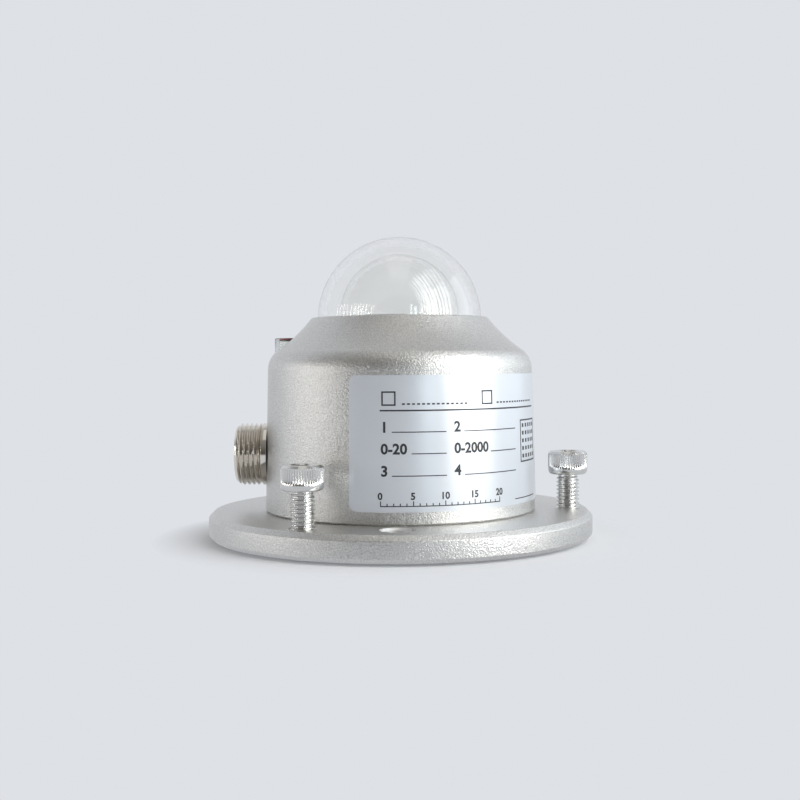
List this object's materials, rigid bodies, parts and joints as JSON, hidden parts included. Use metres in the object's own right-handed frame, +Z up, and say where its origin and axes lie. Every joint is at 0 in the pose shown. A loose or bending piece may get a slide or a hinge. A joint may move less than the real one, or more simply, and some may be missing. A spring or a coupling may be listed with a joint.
{
  "type": "pyranometer",
  "caption": "Solar radiation sensor: glass domes on a turned casing, round flange with levelling screws, bubble level, threaded signal connector.",
  "frame": {"origin": "on the axis of the domes, in the plane of the tips of the levelling screws", "axes": "+Z up along the axis of the domes, -Y the front where the label starts, -X the connector"},
  "size_m": [0.1, 0.1, 0.0783],
  "materials": {
    "anodised": "satin",
    "turned_alloy": "turned",
    "glass": "polished",
    "steel": "polished",
    "nickel": "satin",
    "rubber": "matte",
    "silicone": "matte",
    "copper": "wound",
    "black_coat": "matte",
    "white_paint": "matte",
    "leads": "gloss",
    "board": "satin",
    "brass": "satin",
    "chip": "matte",
    "terminal": "matte",
    "insulator": "matte",
    "clear": "polished",
    "red": "gloss",
    "fluid": "clear",
    "foil": "satin"
  },
  "bodies": {
    "instrument": {"flange": "anodised", "casing": "anodised", "sensor_holder": "turned_alloy", "outer_dome": "glass", "inner_dome": "glass", "casing_screws": "steel", "holder_screws": "steel", "board_screws": "steel", "connector_shell": "nickel", "connector_nut": "nickel", "casing_seal": "rubber", "connector_seal": "rubber", "outer_dome_gasket": "silicone", "inner_dome_gasket": "silicone", "thermopile": "copper", "black_receiver": "black_coat", "sensor_mask": "white_paint", "sensor_header": "white_paint", "desiccant_capsule": "white_paint", "sensor_wires": "leads", "connector_wires": "leads", "circuit_board": "board", "board_spacers": "brass", "connector_pins": "brass", "board_parts": "chip", "terminal_block": "terminal", "connector_insulator": "insulator", "level_body": "clear", "level_lens": "clear", "level_ring": "red", "level_liquid": "fluid", "label": "foil"},
    "front_screw": {"level_screw_front": "steel"},
    "right_screw": {"level_screw_right": "steel"},
    "rear_screw": {"level_screw_rear": "steel"}
  },
  "joints": [
    {"name": "front_levelling", "type": "slide", "parent": "instrument", "child": "front_screw", "axis": [0, 0, 1], "range_m": [-0.0088, 0.004]},
    {"name": "right_levelling", "type": "slide", "parent": "instrument", "child": "right_screw", "axis": [0, 0, 1], "range_m": [-0.0088, 0.004]},
    {"name": "rear_levelling", "type": "slide", "parent": "instrument", "child": "rear_screw", "axis": [0, 0, 1], "range_m": [-0.0088, 0.004]}
  ]
}
